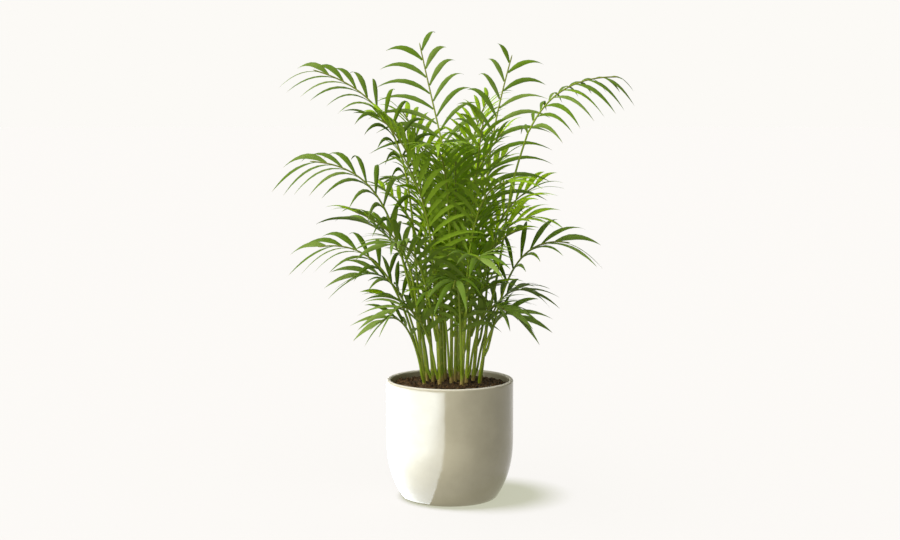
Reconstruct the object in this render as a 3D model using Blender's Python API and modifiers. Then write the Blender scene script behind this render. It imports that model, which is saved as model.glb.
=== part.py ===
"""Potted palm: a clump of young feather palms planted straight into a glazed pot.

Metres, +Z up. The origin is the middle of the pot's flat underside, and the front faces -Y.

Every piece is an object of its own:
  pot        one turned vessel, open at the top
  soil       one turned root ball, with a socket for each cane
  cane_NN    a short green stem, planted in its socket and leaning out of the clump
  frond_NN   one feather leaf: stalk, midrib and leaflets grown as one closed body

A frond's middle line leaves its cane at a start pitch and ends at a tip pitch. All stalks are
placed first. Then each leaflet is drawn out of the side of its midrib, left and right in turn. A
leaflet that would cross something that has grown is turned aside or stays shorter, and where there
is still no room it doesn't grow.
"""

import math
from dataclasses import dataclass

import bmesh
import bpy
import numpy as np
from mathutils import Matrix, Vector
from mathutils.bvhtree import BVHTree

# Pot and soil, in metres
POT_HEIGHT = 0.141
RIM_DIAMETER = 0.150
FOOT_DIAMETER = 0.111
POT_WALL = 0.005
POT_FLOOR = 0.008
FOOT_TURN_HEIGHT = 0.075    # below this height the wall curves in to the foot
FOOT_TURN_POWER = 2.6       # how late that curve turns: 2 is a parabola
FOOT_EDGE = 0.0015          # small bevel round the underside
SOIL_DROP = 0.008           # from the rim down to the soil at the wall
SOIL_HEAP = 0.004           # how much higher the soil stands in the middle

# Canes
CANE_COUNT = 14
CANE_DIAMETER = 0.0048
CANE_TAPER = 0.80           # width of a cane at its top, as a share of its width in the soil
CANE_DEPTH = 0.030          # how deep a cane is planted
CANE_LONGEST = 0.120        # above the soil, in the middle of the clump
CANE_SHORTEST = 0.060       # above the soil, at the edge of the clump
CLUMP_WIDTH = 0.072         # across the outermost canes at the soil
CLUMP_DEPTH = 0.056         # front to back
CLUMP_FAN = 3.6             # how strongly a cane leans outwards, per metre from the middle
GOLDEN_TURN = 137.508       # degrees round the clump from one cane to the next

# Fronds
STALK_WIDTH = 0.0031        # a stalk at its foot
MIDRIB_WIDTH = 0.0016       # a midrib at its tip
LEAFLET_WIDTH = 0.0086
LEAFLET_THICKNESS = 0.0008
LEAFLET_SPACING = 0.0070    # along the midrib, from a leaflet to the next on the other side
OPEN_SPACING = 0.0104       # the same on the open fronds of the outline
LEAFLET_MIDDLE = 0.45       # where along its length a leaflet is widest
LEAFLET_LENGTHS = (0.85, 0.65, -0.95)   # parabola of their lengths, from the lowest to the tip
LEAST_WIDTH = 0.75          # a leaflet cut short, or the lowest one, as a share of full width
SPREAD_FIRST = 54.0         # degrees between midrib and leaflet, at the lowest leaflet
SPREAD_LAST = 30.0          # the same at the tip
CURVE_HANDLE = 0.42         # handles of a frond's middle line, as a share of foot to tip
TOP_SEAT = 0.25             # how far a foot stands above its cane's top, in stalk widths
SIDE_SEAT = 0.80            # how far a foot's middle stands off its cane's side, the same

# Fits
CLEARANCE = 0.0003          # gap between pieces that touch
GROWING_ROOM = 0.0005       # gap that a frond keeps to all that has grown before it
ROOT_SKIP = 0.04            # first part of a leaflet, which lies against its own midrib

# Facets
TURN_STEPS = 40
CANE_SIDES = 8
STALK_RINGS = 5

UP = Vector((0.0, 0.0, 1.0))
# the corners of a ring, as signs across it and up: each piece of a frond has four sides
CORNERS = ((1, 1), (-1, 1), (-1, -1), (1, -1))


@dataclass(frozen=True)
class Frond:
    """How one frond grows. Angles are in degrees and lengths in metres."""

    cane: int               # the cane that it grows from
    perch: float            # where its foot sits on the cane: 1 is the cane's top
    azimuth: float          # the way it leans: 0 is +X, 90 is +Y, to the back
    reach: float            # from foot to tip, level
    rise: float             # from foot to tip, upright
    start: float = 84.0     # pitch of the stalk at its foot
    end: float = 10.0       # pitch of the midrib at its tip
    twist: float = 0.0      # turn of the blade about its midrib
    bare: float = 0.24      # share of its length that is bare stalk
    blade: float = 0.088    # length of its longest leaflets
    lift: float = 32.0      # how far leaflets stand up out of the blade
    droop: float = 0.42     # fall of a leaflet's tip, as a share of its length
    spacing: float = LEAFLET_SPACING


FRONDS = (
    # the long ones that make the outline, from the upper left over to the lower right
    Frond(9, 1.00, azimuth=176, reach=0.122, rise=0.280, end=16, twist=-32, bare=0.42,
          blade=0.090, droop=0.55, spacing=OPEN_SPACING),
    Frond(0, 1.00, azimuth=122, reach=0.086, rise=0.284, start=88, end=68, bare=0.40,
          twist=-34, blade=0.100, lift=12, droop=0.52, spacing=OPEN_SPACING),
    Frond(8, 1.00, azimuth=50, reach=0.062, rise=0.308, start=86, end=66, bare=0.38,
          twist=40, blade=0.092, lift=12, droop=0.50, spacing=OPEN_SPACING),
    Frond(13, 1.00, azimuth=4, reach=0.150, rise=0.288, start=75, end=0, bare=0.58, twist=25,
          blade=0.056, lift=4, droop=0.70, spacing=OPEN_SPACING),
    Frond(12, 1.00, azimuth=182, reach=0.120, rise=0.180, start=74, end=4, twist=-28, bare=0.40,
          blade=0.098, droop=0.62, spacing=OPEN_SPACING),
    Frond(12, 0.45, azimuth=180, reach=0.112, rise=0.126, start=76, end=-8, twist=-28, bare=0.40,
          blade=0.080, droop=0.55, spacing=OPEN_SPACING),
    Frond(9, 0.25, azimuth=188, reach=0.078, rise=0.104, start=80, end=-22, twist=-22,
          bare=0.35, blade=0.068),
    Frond(12, 0.15, azimuth=200, reach=0.050, rise=0.064, start=82, end=-36, twist=-15,
          bare=0.40, blade=0.060),
    Frond(8, 0.70, azimuth=10, reach=0.068, rise=0.180, start=78, end=26, twist=28, blade=0.088),
    Frond(13, 0.60, azimuth=-4, reach=0.092, rise=0.125, start=76, end=-8, twist=25, bare=0.40,
          blade=0.090, droop=0.45, spacing=OPEN_SPACING),
    Frond(5, 0.80, azimuth=-14, reach=0.070, rise=0.132, start=74, twist=22, blade=0.082),
    Frond(13, 0.15, azimuth=-20, reach=0.050, rise=0.070, start=82, end=-32, twist=22,
          bare=0.40, blade=0.064),
    Frond(10, 0.30, azimuth=-98, reach=0.070, rise=0.100, start=80, end=-34, blade=0.066,
          droop=0.65),
    Frond(5, 1.00, azimuth=-75, reach=0.050, rise=0.225, start=86, end=60),
    Frond(7, 1.00, azimuth=-138, reach=0.050, rise=0.185, end=55),
    Frond(6, 1.00, azimuth=158, reach=0.100, rise=0.225, end=22, bare=0.40, blade=0.066,
          spacing=OPEN_SPACING),
    # the ones that lean to the back
    Frond(11, 1.00, azimuth=84, reach=0.140, rise=0.225, end=8),
    Frond(11, 0.75, azimuth=66, reach=0.120, rise=0.150, end=-5),
    Frond(6, 0.70, azimuth=112, reach=0.130, rise=0.170, end=0),
    Frond(6, 0.20, azimuth=98, reach=0.110, rise=0.086, start=78, end=-25, bare=0.30,
          blade=0.080),
    Frond(1, 1.00, azimuth=128, reach=0.075, rise=0.215, end=40),
    Frond(3, 1.00, azimuth=66, reach=0.080, rise=0.235, end=35),
    Frond(11, 0.15, azimuth=48, reach=0.075, rise=0.066, start=80, end=-30, bare=0.35,
          blade=0.068),
    Frond(9, 0.70, azimuth=160, reach=0.086, rise=0.130, end=5, blade=0.080),
    Frond(8, 0.20, azimuth=22, reach=0.070, rise=0.088, start=80, end=-24, bare=0.35,
          blade=0.064),
    # the ones that lean to the front
    Frond(2, 1.00, azimuth=-100, reach=0.110, rise=0.185, end=5),
    Frond(10, 1.00, azimuth=-62, reach=0.100, rise=0.165, end=5),
    Frond(10, 0.75, azimuth=-80, reach=0.090, rise=0.100, start=74, end=-10, blade=0.080),
    Frond(7, 0.75, azimuth=-122, reach=0.095, rise=0.110, start=74, end=-5, blade=0.080),
    Frond(7, 0.20, azimuth=-140, reach=0.066, rise=0.074, start=80, end=-32, bare=0.35,
          blade=0.064),
    Frond(5, 0.60, azimuth=-40, reach=0.075, rise=0.136, end=20, blade=0.076),
    Frond(12, 0.80, azimuth=-160, reach=0.076, rise=0.140, end=20, blade=0.082),
    Frond(5, 0.20, azimuth=-50, reach=0.062, rise=0.076, start=80, end=-30, bare=0.35,
          blade=0.064),
    # the inner ones, which stand up in the middle
    Frond(0, 0.80, azimuth=-20, reach=0.050, rise=0.205, start=87, end=50),
    Frond(4, 1.00, azimuth=-170, reach=0.055, rise=0.220, start=86, end=45),
    Frond(4, 0.70, azimuth=150, reach=0.060, rise=0.165, end=30, blade=0.076),
    Frond(2, 0.70, azimuth=-90, reach=0.045, rise=0.200, start=86, end=45),
    Frond(3, 0.70, azimuth=30, reach=0.060, rise=0.200, end=35, blade=0.076),
    Frond(1, 0.60, azimuth=170, reach=0.040, rise=0.230, start=87, end=60, blade=0.070),
    Frond(3, 0.45, azimuth=95, reach=0.050, rise=0.140, end=40, blade=0.070),
    Frond(2, 0.20, azimuth=-120, reach=0.056, rise=0.096, end=-5, bare=0.30, blade=0.066),
    Frond(1, 0.15, azimuth=120, reach=0.055, rise=0.106, end=10, bare=0.30, blade=0.066),
    Frond(4, 0.15, azimuth=-160, reach=0.056, rise=0.090, end=5, bare=0.30, blade=0.064),
    Frond(0, 0.20, azimuth=-30, reach=0.054, rise=0.098, end=5, bare=0.30, blade=0.064),
)


class Grown:
    """Everything that has grown so far, to test whether a new shape has room."""

    def __init__(self):
        self.points = []
        self.faces = []
        self.tree = None

    def add(self, points, faces):
        first = len(self.points)
        self.points.extend(points)
        self.faces.extend([tuple(first + corner for corner in face) for face in faces])
        self.tree = BVHTree.FromPolygons(self.points, self.faces)

    def add_object(self, obj):
        mesh = bpy.data.meshes.new_from_object(obj.evaluated_get(bpy.context.evaluated_depsgraph_get()))
        self.add([vertex.co.copy() for vertex in mesh.vertices],
                 [tuple(polygon.vertices) for polygon in mesh.polygons])
        bpy.data.meshes.remove(mesh)

    def leave_room_for(self, points, faces):
        return not self.tree.overlap(BVHTree.FromPolygons(points, faces))


def clear_scene():
    for obj in list(bpy.data.objects):
        bpy.data.objects.remove(obj, do_unlink=True)


def make_collection(name):
    collection = bpy.data.collections.new(name)
    bpy.context.scene.collection.children.link(collection)
    return collection


def make_material(name, colour, roughness):
    material = bpy.data.materials.new(name)
    material.use_nodes = True
    shader = material.node_tree.nodes["Principled BSDF"]
    shader.inputs["Base Color"].default_value = (*colour, 1.0)
    shader.inputs["Roughness"].default_value = roughness
    shader.inputs["Metallic"].default_value = 0.0
    return material


def add_object(name, data, collection, material=None):
    obj = bpy.data.objects.new(name, data)
    collection.objects.link(obj)
    if material is not None:
        data.materials.append(material)
    return obj


def turned_solid(name, profile, collection, material):
    """Turn an outline of (radius, height) points that starts and ends on the axis."""
    mesh = bpy.data.meshes.new(name)
    corners = [(radius, 0.0, height) for radius, height in profile]
    mesh.from_pydata(corners, [(i, i + 1) for i in range(len(corners) - 1)], [])
    obj = add_object(name, mesh, collection, material)
    screw = obj.modifiers.new("turn", "SCREW")
    screw.steps = TURN_STEPS
    screw.render_steps = TURN_STEPS
    screw.use_merge_vertices = True
    screw.merge_threshold = 0.00005
    screw.use_smooth_shade = True
    return obj


def wall_radius(height):
    """Outer radius of the pot's wall: straight above, drawn in below as a power curve."""
    rim, foot = RIM_DIAMETER / 2, FOOT_DIAMETER / 2
    below = max(0.0, 1.0 - height / FOOT_TURN_HEIGHT)
    return rim - (rim - foot) * below ** FOOT_TURN_POWER


def inner_outline():
    """(radius, height) points up the inside of the pot, from its floor to its straight part."""
    heights = np.linspace(POT_FLOOR, FOOT_TURN_HEIGHT, 6)
    return [(wall_radius(height) - POT_WALL, height) for height in heights]


def make_pot(collection, material):
    """The inside from the floor up, round the lip, the outer wall down to the foot, underside."""
    lip = POT_WALL / 2
    lip_angles = np.radians([180.0, 135.0, 90.0, 45.0, 0.0])
    rounded = [(RIM_DIAMETER / 2 - lip + lip * math.cos(angle),
                POT_HEIGHT - lip + lip * math.sin(angle)) for angle in lip_angles]
    outer = [(wall_radius(height), height) for height in np.linspace(FOOT_TURN_HEIGHT, FOOT_EDGE, 8)]
    foot = [(wall_radius(0.0) - FOOT_EDGE, 0.0), (0.0, 0.0)]
    profile = [(0.0, POT_FLOOR), *inner_outline(), *rounded, *outer, *foot]
    return turned_solid("pot", profile, collection, material)


def soil_height(share):
    """Height of the soil at a share of its radius: highest in the middle, a shallow bowl over."""
    return POT_HEIGHT - SOIL_DROP + SOIL_HEAP * (1.0 - share ** 2)


def make_soil(collection, material):
    """The root ball: follows the pot's inside at a clearance, and is slightly heaped."""
    radius = RIM_DIAMETER / 2 - POT_WALL - CLEARANCE
    heap = [(radius * share, soil_height(share)) for share in (0.0, 0.35, 0.7, 1.0)]
    side = [(inner - CLEARANCE, height + CLEARANCE) for inner, height in reversed(inner_outline())]
    profile = [*heap, *side, (0.0, POT_FLOOR + CLEARANCE)]
    return turned_solid("soil", profile, collection, material)


def cane_foot(index):
    """Where a cane leaves the soil: the clump fills an oval evenly, by the golden turn."""
    share = math.sqrt((index + 0.5) / CANE_COUNT)
    angle = math.radians(index * GOLDEN_TURN)
    x = CLUMP_WIDTH / 2 * share * math.cos(angle)
    y = CLUMP_DEPTH / 2 * share * math.sin(angle)
    return Vector((x, y, soil_height(0.0)))


def cane_point(index, height):
    """A point on a cane's middle line, at a height above the soil."""
    foot = cane_foot(index)
    lean = Vector((foot.x, foot.y, 0.0)) * CLUMP_FAN
    return foot + (UP + lean).normalized() * height


def cane_length(index):
    """Canes are longest in the middle of the clump, and each third one is a little longer."""
    share = math.sqrt((index + 0.5) / CANE_COUNT)
    unevenness = 0.70 + 0.15 * (index % 3)
    return CANE_LONGEST - (CANE_LONGEST - CANE_SHORTEST) * share * unevenness


def cane_radius(index, height):
    share = min(1.0, max(0.0, height / cane_length(index)))
    return CANE_DIAMETER / 2 * (1.0 - (1.0 - CANE_TAPER) * share)


def make_cane(index, collection, material):
    """A straight tapering stem, from its planted end to its top."""
    curve = bpy.data.curves.new(f"cane_{index + 1:02d}", "CURVE")
    curve.dimensions = "3D"
    curve.bevel_depth = CANE_DIAMETER / 2
    curve.bevel_resolution = CANE_SIDES // 2 - 2
    curve.use_fill_caps = True
    heights = (-CANE_DEPTH, 0.0, cane_length(index) / 2, cane_length(index))
    spline = curve.splines.new("POLY")
    spline.points.add(len(heights) - 1)
    for point, height in zip(spline.points, heights):
        point.co = (*cane_point(index, height), 1.0)
        point.radius = cane_radius(index, height) / (CANE_DIAMETER / 2)
    return add_object(curve.name, curve, collection, material)


def cut_sockets(soil, cutters):
    """Bore a socket for each cane, whose flat sides keep the clearance to the cane's corners."""
    radius = (CANE_DIAMETER / 2 + CLEARANCE) / math.cos(math.pi / CANE_SIDES)
    above = SOIL_HEAP + CANE_DIAMETER
    depth = CANE_DEPTH + CLEARANCE
    mesh = bpy.data.meshes.new("cane_sockets")
    bm = bmesh.new()
    for index in range(CANE_COUNT):
        top, bottom = cane_point(index, above), cane_point(index, -depth)
        turn = (top - bottom).to_track_quat("Z", "Y").to_matrix().to_4x4()
        bmesh.ops.create_cone(bm, cap_ends=True, segments=CANE_SIDES, radius1=radius,
                              radius2=radius, depth=above + depth,
                              matrix=Matrix.Translation((top + bottom) / 2) @ turn)
    bm.to_mesh(mesh)
    bm.free()
    sockets = add_object(mesh.name, mesh, cutters)
    sockets.hide_render = True
    sockets.display_type = "WIRE"
    cut = soil.modifiers.new("sockets", "BOOLEAN")
    cut.operation = "DIFFERENCE"
    cut.solver = "EXACT"
    cut.object = sockets


def level_direction(degrees):
    angle = math.radians(degrees)
    return Vector((math.cos(angle), math.sin(angle), 0.0))


def frond_foot(frond, seat):
    """Middle of a stalk's foot: on top of its cane, or beside it at an angle round it."""
    length = cane_length(frond.cane)
    if frond.perch >= 1.0:
        return cane_point(frond.cane, length + CLEARANCE + STALK_WIDTH * TOP_SEAT)
    height = length * frond.perch
    beside = cane_radius(frond.cane, height) + STALK_WIDTH * SIDE_SEAT + CLEARANCE
    return cane_point(frond.cane, height) + level_direction(seat) * beside


def bezier(handles, share):
    """Point and direction at a share of a cubic curve with four handles."""
    a, b, c, d = handles
    rest = 1.0 - share
    place = a * rest ** 3 + b * (3 * rest ** 2 * share) + c * (3 * rest * share ** 2) + d * share ** 3
    slope = (b - a) * rest ** 2 + (c - b) * (2 * rest * share) + (d - c) * share ** 2
    return place, slope.normalized()


def frond_stations(frond, azimuth, seat):
    """Stations along a frond: place, forward, side, up and half width of its tube.

    The first few make the bare stalk. After them, each stretch between two is a leaflet's root.
    """
    level = level_direction(azimuth)
    foot = frond_foot(frond, seat)
    tip = foot + level * frond.reach + UP * frond.rise
    handle = (tip - foot).length * CURVE_HANDLE
    start, end = math.radians(frond.start), math.radians(frond.end)
    leave = level * math.cos(start) + UP * math.sin(start)
    arrive = level * math.cos(end) + UP * math.sin(end)
    handles = (foot, foot + leave * handle, tip - arrive * handle, tip)
    length = sum((handles[i + 1] - handles[i]).length for i in range(3))
    leaflets = max(4, round(length * (1.0 - frond.bare) / frond.spacing))
    shares = [*np.linspace(0.0, frond.bare, STALK_RINGS),
              *np.linspace(frond.bare, 1.0, leaflets + 1)[1:]]
    stations = []
    for share in shares:
        place, forward = bezier(handles, share)
        turned = math.radians(frond.twist) * min(1.0, share / frond.bare)
        side = Matrix.Rotation(turned, 3, forward) @ Vector((-level.y, level.x, 0.0))
        half = (STALK_WIDTH + (MIDRIB_WIDTH - STALK_WIDTH) * share) / 2
        stations.append((place, forward, side, forward.cross(side), half))
    return stations


def ring(place, across, up, half_across, half_up):
    return [place + across * (half_across * a) + up * (half_up * b) for a, b in CORNERS]


def tube_faces(first):
    """The four side faces between a ring whose corners start at a number, and the next ring."""
    return [(first + k, first + (k + 1) % 4, first + 4 + (k + 1) % 4, first + 4 + k)
            for k in range(4)]


def stalk_shape(stations, margin=0.0):
    """The bare tube of a frond, a margin fatter, to test for room."""
    points = []
    for place, _, side, up, half in stations:
        points.extend(ring(place, side, up, half + margin, half + margin))
    faces = [face for i in range(len(stations) - 1) for face in tube_faces(4 * i)]
    return points, faces


def place_stalk(frond, grown):
    """Stations of a frond, turned as little as its stalk and midrib need to stay clear.

    Its foot may sit further round its cane than the way it leans.
    """
    for turn in (0, 4, -4, 8, -8, 12, -12, 16, -16, 20, -20, 26, -26, 32, -32):
        for round_cane in (0, 40, -40, 80, -80, 120, -120):
            azimuth = frond.azimuth + turn
            stations = frond_stations(frond, azimuth, azimuth + round_cane)
            if grown.leave_room_for(*stalk_shape(stations, GROWING_ROOM)):
                grown.add(*stalk_shape(stations))
                return stations
    raise ValueError("no room for the stalk of a frond")


class Leaflet:
    """One leaflet: a flat blade, widest near its middle, from the midrib's side to a point."""

    def __init__(self, frond, before, after, sign, share, swing, lift, scale):
        """It grows between two stations, to the +1 or -1 side, at a share of the leafy part.

        Swing and lift turn it aside, in degrees, and scale makes it shorter.
        """
        self.roots = (after, before, before, after)
        self.sign = sign
        forward, side, up, half = after[1], after[2] * sign, after[3], after[4]
        spread = math.radians(SPREAD_FIRST + (SPREAD_LAST - SPREAD_FIRST) * share + swing)
        rise = math.radians(frond.lift + lift)
        outward = side * math.cos(rise) + up * math.sin(rise)
        along = forward * math.cos(spread) + outward * math.sin(spread)
        # longest a third of the way along the midrib, and little more than half that at its tip
        first, gain, bend = LEAFLET_LENGTHS
        length = frond.blade * (first + gain * share + bend * share ** 2) * scale
        fall = UP * (length * frond.droop)
        root = (before[0] + after[0]) / 2 + side * half
        self.middle = root + along * (length * LEAFLET_MIDDLE) - fall * LEAFLET_MIDDLE ** 2
        self.tip = root + along * length - fall
        self.across = (forward - along * forward.dot(along)).normalized()
        self.out = self.across.cross(along) * sign
        fuller = 1.0 - LEAST_WIDTH
        self.width = LEAFLET_WIDTH * (LEAST_WIDTH + fuller * scale) * (LEAST_WIDTH + fuller * share)

    def middle_ring(self, margin=0.0):
        """Corners round the widest part: forward edge above, back edge above, and below them."""
        return ring(self.middle, self.across, self.out, self.width / 2 + margin,
                    LEAFLET_THICKNESS / 2 + margin)

    def shape(self, skip=0.0, margin=0.0):
        """The blade without its first share, and a margin fatter, to test for room."""
        corners = self.middle_ring(margin)
        base = [place + side * (self.sign * half) + up * (half * b)
                for (place, _, side, up, half), (_, b) in zip(self.roots, CORNERS)]
        lifted = [corner.lerp(other, skip) for corner, other in zip(base, corners)]
        tip = self.tip + (self.tip - self.middle).normalized() * margin
        faces = tube_faces(0) + [(4 + k, 4 + (k + 1) % 4, 8) for k in range(4)]
        return [*lifted, *corners, tip], faces


def aside_tries():
    """Ways to turn a leaflet aside (swing, lift, scale): the smallest first, then shorter."""
    turns = [(0, 0)]
    for size in (7, 14, 21):
        turns += [(size, 0), (-size, 0), (0, size), (0, -size), (size, size), (-size, size),
                  (size, -size), (-size, -size)]
    return [(swing, lift, scale) for scale in (1.0, 0.8, 0.6) for swing, lift in turns]


def extend(bm, face, corners, keep=False):
    """Grow a four-sided face to four new corners. Returns the new end and its four sides."""
    old = list(face.verts)
    new = [bm.verts.new(corner) for corner in corners]
    if not keep:
        bm.faces.remove(face)
    sides = [bm.faces.new((old[k], old[(k + 1) % 4], new[(k + 1) % 4], new[k])) for k in range(4)]
    return bm.faces.new(new), sides


def draw_stalk(bm, stations):
    """The tube of stalk and midrib. Returns the face, station and side of each leaflet's root."""
    place, _, side, up, half = stations[0]
    foot = bm.faces.new([bm.verts.new(corner) for corner in ring(place, side, up, half, half)])
    end = foot
    roots = []
    for i in range(1, len(stations)):
        place, _, side, up, half = stations[i]
        end, sides = extend(bm, end, ring(place, side, up, half, half), keep=(i == 1))
        if i >= STALK_RINGS:
            sign = 1 if (i - STALK_RINGS) % 2 == 0 else -1
            roots.append((sides[3] if sign > 0 else sides[1], i, sign))
    foot.normal_flip()
    return roots


def draw_leaflet(bm, face, leaflet):
    """Pull a side face of the midrib out into a blade that ends in a point."""
    corners = leaflet.middle_ring()
    order = (2, 1, 0, 3) if leaflet.sign > 0 else (1, 2, 3, 0)
    blade, _ = extend(bm, face, [corners[k] for k in order])
    rim = list(blade.verts)
    bm.faces.remove(blade)
    point = bm.verts.new(leaflet.tip)
    for k in range(4):
        bm.faces.new((rim[k], rim[(k + 1) % 4], point))


def make_frond(number, frond, stations, grown, collection, material):
    """One leaf: its tube, and each leaflet that finds room, drawn out of the tube's sides."""
    bm = bmesh.new()
    roots = draw_stalk(bm, stations)
    for face, i, sign in roots:
        share = (i - STALK_RINGS + 1) / len(roots)
        for swing, lift, scale in aside_tries():
            leaflet = Leaflet(frond, stations[i - 1], stations[i], sign, share, swing, lift, scale)
            if grown.leave_room_for(*leaflet.shape(skip=ROOT_SKIP, margin=GROWING_ROOM)):
                draw_leaflet(bm, face, leaflet)
                grown.add(*leaflet.shape())
                break
    mesh = bpy.data.meshes.new(f"frond_{number:02d}")
    bm.to_mesh(mesh)
    bm.free()
    mesh.shade_smooth()
    mesh.set_sharp_from_angle(angle=math.radians(40.0))
    return add_object(mesh.name, mesh, collection, material)


def main():
    clear_scene()
    palm = make_collection("potted_palm")
    cutters = make_collection("cutters")
    glaze = make_material("glaze", (0.62, 0.58, 0.50), 0.35)
    earth = make_material("earth", (0.035, 0.022, 0.014), 0.95)
    stem = make_material("stem", (0.20, 0.30, 0.08), 0.50)
    leaf = make_material("leaf", (0.10, 0.25, 0.02), 0.45)

    pot = make_pot(palm, glaze)
    soil = make_soil(palm, earth)
    cut_sockets(soil, cutters)
    canes = [make_cane(index, palm, stem) for index in range(CANE_COUNT)]

    grown = Grown()
    bpy.context.view_layer.update()
    for obj in (pot, soil, *canes):
        grown.add_object(obj)
    stalks = [place_stalk(frond, grown) for frond in FRONDS]
    for number, (frond, stations) in enumerate(zip(FRONDS, stalks), start=1):
        make_frond(number, frond, stations, grown, palm, leaf)


if __name__ == "__main__":
    main()
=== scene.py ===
"""Potted palm: the looks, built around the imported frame.

Each CAD node is the bones of one piece here. A frond's midline, and the root, middle and tip of
each of its leaflets, are read from its node, and a smooth stalk and thin arched blades are drawn
along them. Canes get their rings and dry sheaths, the soil its crumbs, and the pot its glaze.

Metres, +Z up, the front faces -Y, as in the frame.
"""

import logging
import math
from collections.abc import Sequence
from dataclasses import dataclass, field
from enum import Enum
from typing import ClassVar

import bpy
import numpy as np
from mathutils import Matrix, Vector


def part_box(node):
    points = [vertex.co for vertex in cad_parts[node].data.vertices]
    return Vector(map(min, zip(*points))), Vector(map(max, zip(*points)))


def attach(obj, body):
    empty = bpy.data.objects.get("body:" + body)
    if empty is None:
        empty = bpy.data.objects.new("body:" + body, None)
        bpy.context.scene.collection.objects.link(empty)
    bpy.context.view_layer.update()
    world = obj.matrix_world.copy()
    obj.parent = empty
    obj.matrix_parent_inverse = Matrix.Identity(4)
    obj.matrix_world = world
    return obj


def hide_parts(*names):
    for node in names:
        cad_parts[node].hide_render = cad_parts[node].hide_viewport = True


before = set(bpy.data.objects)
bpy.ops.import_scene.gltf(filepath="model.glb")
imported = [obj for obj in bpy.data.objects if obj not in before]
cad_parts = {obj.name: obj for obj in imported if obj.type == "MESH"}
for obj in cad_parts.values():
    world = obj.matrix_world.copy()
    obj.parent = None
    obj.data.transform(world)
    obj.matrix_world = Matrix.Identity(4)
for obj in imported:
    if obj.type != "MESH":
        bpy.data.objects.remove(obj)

log = logging.getLogger("potted_palm")

WELD_DECIMALS = 6           # corners this close, in decimals of a metre, are one
RIPPLE_SPREAD = (0.6, 1.6)  # waves of a ripple differ in number by these factors
RIPPLE_PEAK = 1.5           # the usual peak of their sum, which is brought to 1
UP = np.array([0.0, 0.0, 1.0])

Colour = tuple[float, float, float]
Socket = bpy.types.NodeSocket


class Slot(Enum):
    """The record's material slots."""

    GLAZE = "glaze"
    SOIL = "soil"
    CANE = "cane"
    FROND = "frond"


class Age(Enum):
    """How old a frond is, as its tone: pale and yellowish, then deep green, then dull grey-green,
    partly a painted sheen.
    """

    YOUNG = 0.05
    GROWN = 0.48
    TALL = 0.97
    LEANING = 1.10


# ---------------------------------------------------------------- arrays and meshes


def unit(vectors: np.ndarray) -> np.ndarray:
    """Vectors over their last axis, each divided by its own length."""
    return vectors / np.maximum(np.linalg.norm(vectors, axis=-1, keepdims=True), 1e-12)


def without(vectors: np.ndarray, along: np.ndarray) -> np.ndarray:
    """Vectors less their share along the unit vectors given, made unit again."""
    return unit(vectors - np.sum(vectors * along, axis=-1, keepdims=True) * along)


def smoothstep(values: np.ndarray, start: float, end: float) -> np.ndarray:
    """3t^2 - 2t^3, where t runs from 0 at start to 1 at end."""
    t = np.clip((values - start) / (end - start), 0.0, 1.0)
    return t * t * (3.0 - 2.0 * t)


def grid_quads(rings: int, corners: int) -> np.ndarray:
    """Skin rings of corners that are counted ring after ring.

    Args:
        rings: Number of rings.
        corners: Number of corners in each.

    Returns:
        The faces, as rows of four corner numbers.
    """
    ring = np.arange(corners)
    after = (ring + 1) % corners
    starts = np.arange(rings - 1)[:, None] * corners
    return np.stack([starts + ring, starts + corners + ring, starts + corners + after,
                     starts + after], axis=-1).reshape(-1, 4)


def placed(name: str, data: bpy.types.ID) -> bpy.types.Object:
    """A new object of the scene, around its mesh, light or camera."""
    made = bpy.data.objects.new(name, data)
    bpy.context.scene.collection.objects.link(made)
    return made


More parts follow.
